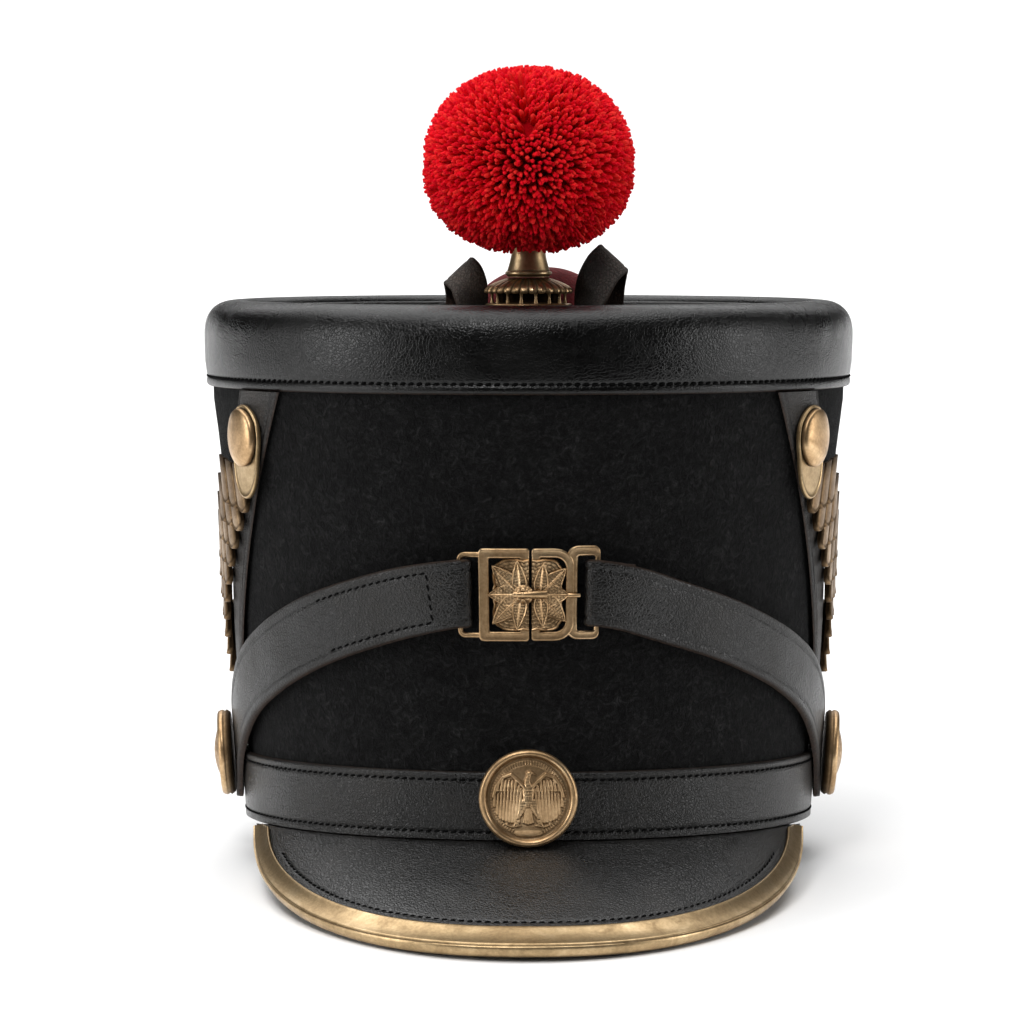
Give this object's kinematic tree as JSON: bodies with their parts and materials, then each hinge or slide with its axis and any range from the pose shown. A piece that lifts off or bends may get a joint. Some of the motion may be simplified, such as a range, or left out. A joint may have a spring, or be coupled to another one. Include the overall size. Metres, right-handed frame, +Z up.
{
  "type": "shako hat",
  "caption": "Tall black felt shako hat with leather crown and base band, brass-edged peak, chin scales, buckled front strap and red pompom.",
  "frame": {"origin": "middle of the hat's box, on the surface that it rests on", "axes": "+Z up, -Y to the front of the hat, +X to the right as seen from the front; the hat leans back 7.5 degrees, as it rests on its peak and the back of its base"},
  "size_m": [0.2206, 0.2958, 0.2732],
  "materials": {
    "felt": "black wool felt, short nap, matt",
    "leather": "black grained leather, satin, with brown cut edges",
    "brass": "antique brass, brushed, dark in the recesses",
    "red_wool": "bright red wool yarn",
    "red_cloth": "dark red wool cloth"
  },
  "bodies": {
    "root": {"felt_body": "felt", "crown_rim": "leather", "crown_disc": "leather", "base_band": "leather", "peak": "leather", "strap_left": "leather", "strap_right": "leather", "chevron_left": "leather", "chevron_right": "leather", "bow_left": "leather", "bow_right": "leather", "peak_trim": "brass", "buckle_left": "brass", "buckle_right": "brass", "boss_left": "brass", "boss_right": "brass", "boss_plate_left": "brass", "boss_plate_right": "brass", "front_button": "brass", "side_button_left": "brass", "side_button_right": "brass", "pompom_socket": "brass", "socket_foot": "brass", "scale_left_01": "brass", "scale_left_02": "brass", "scale_left_03": "brass", "scale_left_04": "brass", "scale_left_05": "brass", "scale_left_06": "brass", "scale_left_07": "brass", "scale_left_08": "brass", "scale_left_09": "brass", "scale_left_10": "brass", "scale_right_01": "brass", "scale_right_02": "brass", "scale_right_03": "brass", "scale_right_04": "brass", "scale_right_05": "brass", "scale_right_06": "brass", "scale_right_07": "brass", "scale_right_08": "brass", "scale_right_09": "brass", "scale_right_10": "brass", "pompom": "red_wool", "red_pad": "red_cloth"}
  },
  "joints": []
}
